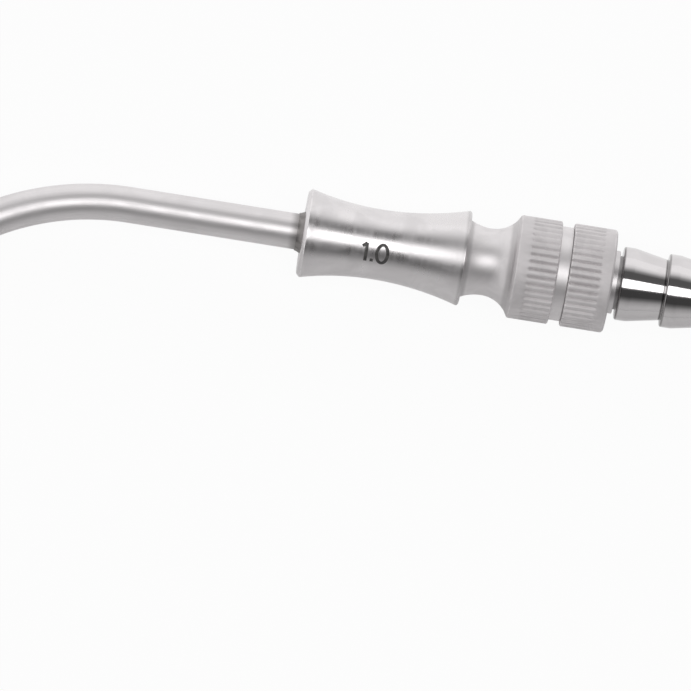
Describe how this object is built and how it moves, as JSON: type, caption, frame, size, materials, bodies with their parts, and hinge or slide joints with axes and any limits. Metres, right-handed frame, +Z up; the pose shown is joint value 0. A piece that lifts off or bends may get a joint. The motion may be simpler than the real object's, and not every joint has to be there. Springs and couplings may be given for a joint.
{
  "type": "frazier suction tip",
  "caption": "Bent suction tube with a polished waisted grip sleeve, a satin knurled union and a barbed hose nozzle.",
  "frame": {"origin": "middle of the footprint of the part as it lies at rest, on the surface it lies on", "axes": "+X along the handle towards the hose barbs, tilted with the rest by about two degrees; +Y across, away from the side the tube bends to; +Z up"},
  "size_m": [0.1376, 0.0554, 0.0119],
  "materials": {
    "tube_steel": "polished tube",
    "braze": "dull braze metal",
    "sleeve_polish": "turned and polished",
    "satin_steel": "satin, bead blasted",
    "gasket": "pale silicone",
    "nozzle_polish": "mirror polished"
  },
  "bodies": {
    "handle": {"suction_tube": "tube_steel", "solder_fillet": "braze", "grip_sleeve": "sleeve_polish", "coupling_hub": "satin_steel"},
    "nozzle": {"seal_ring": "gasket", "hose_nozzle": "nozzle_polish"},
    "nut": {"coupling_nut": "satin_steel"}
  },
  "joints": [
    {"name": "nozzle_draw", "type": "slide", "parent": "handle", "child": "nozzle", "axis": [0.9994, 0, 0.034], "range_m": [0, 0.00263]},
    {"name": "nut_turn", "type": "hinge", "parent": "nozzle", "child": "nut", "pos_m": [0.04729, 0.02195, 0.00614], "axis": [0.9994, 0, 0.034], "range_deg": [0, 1260.1]}
  ],
  "couplings": [
    {"joint": "nut_turn", "follows": "nozzle_draw", "rad_per_m": 8377.6}
  ]
}
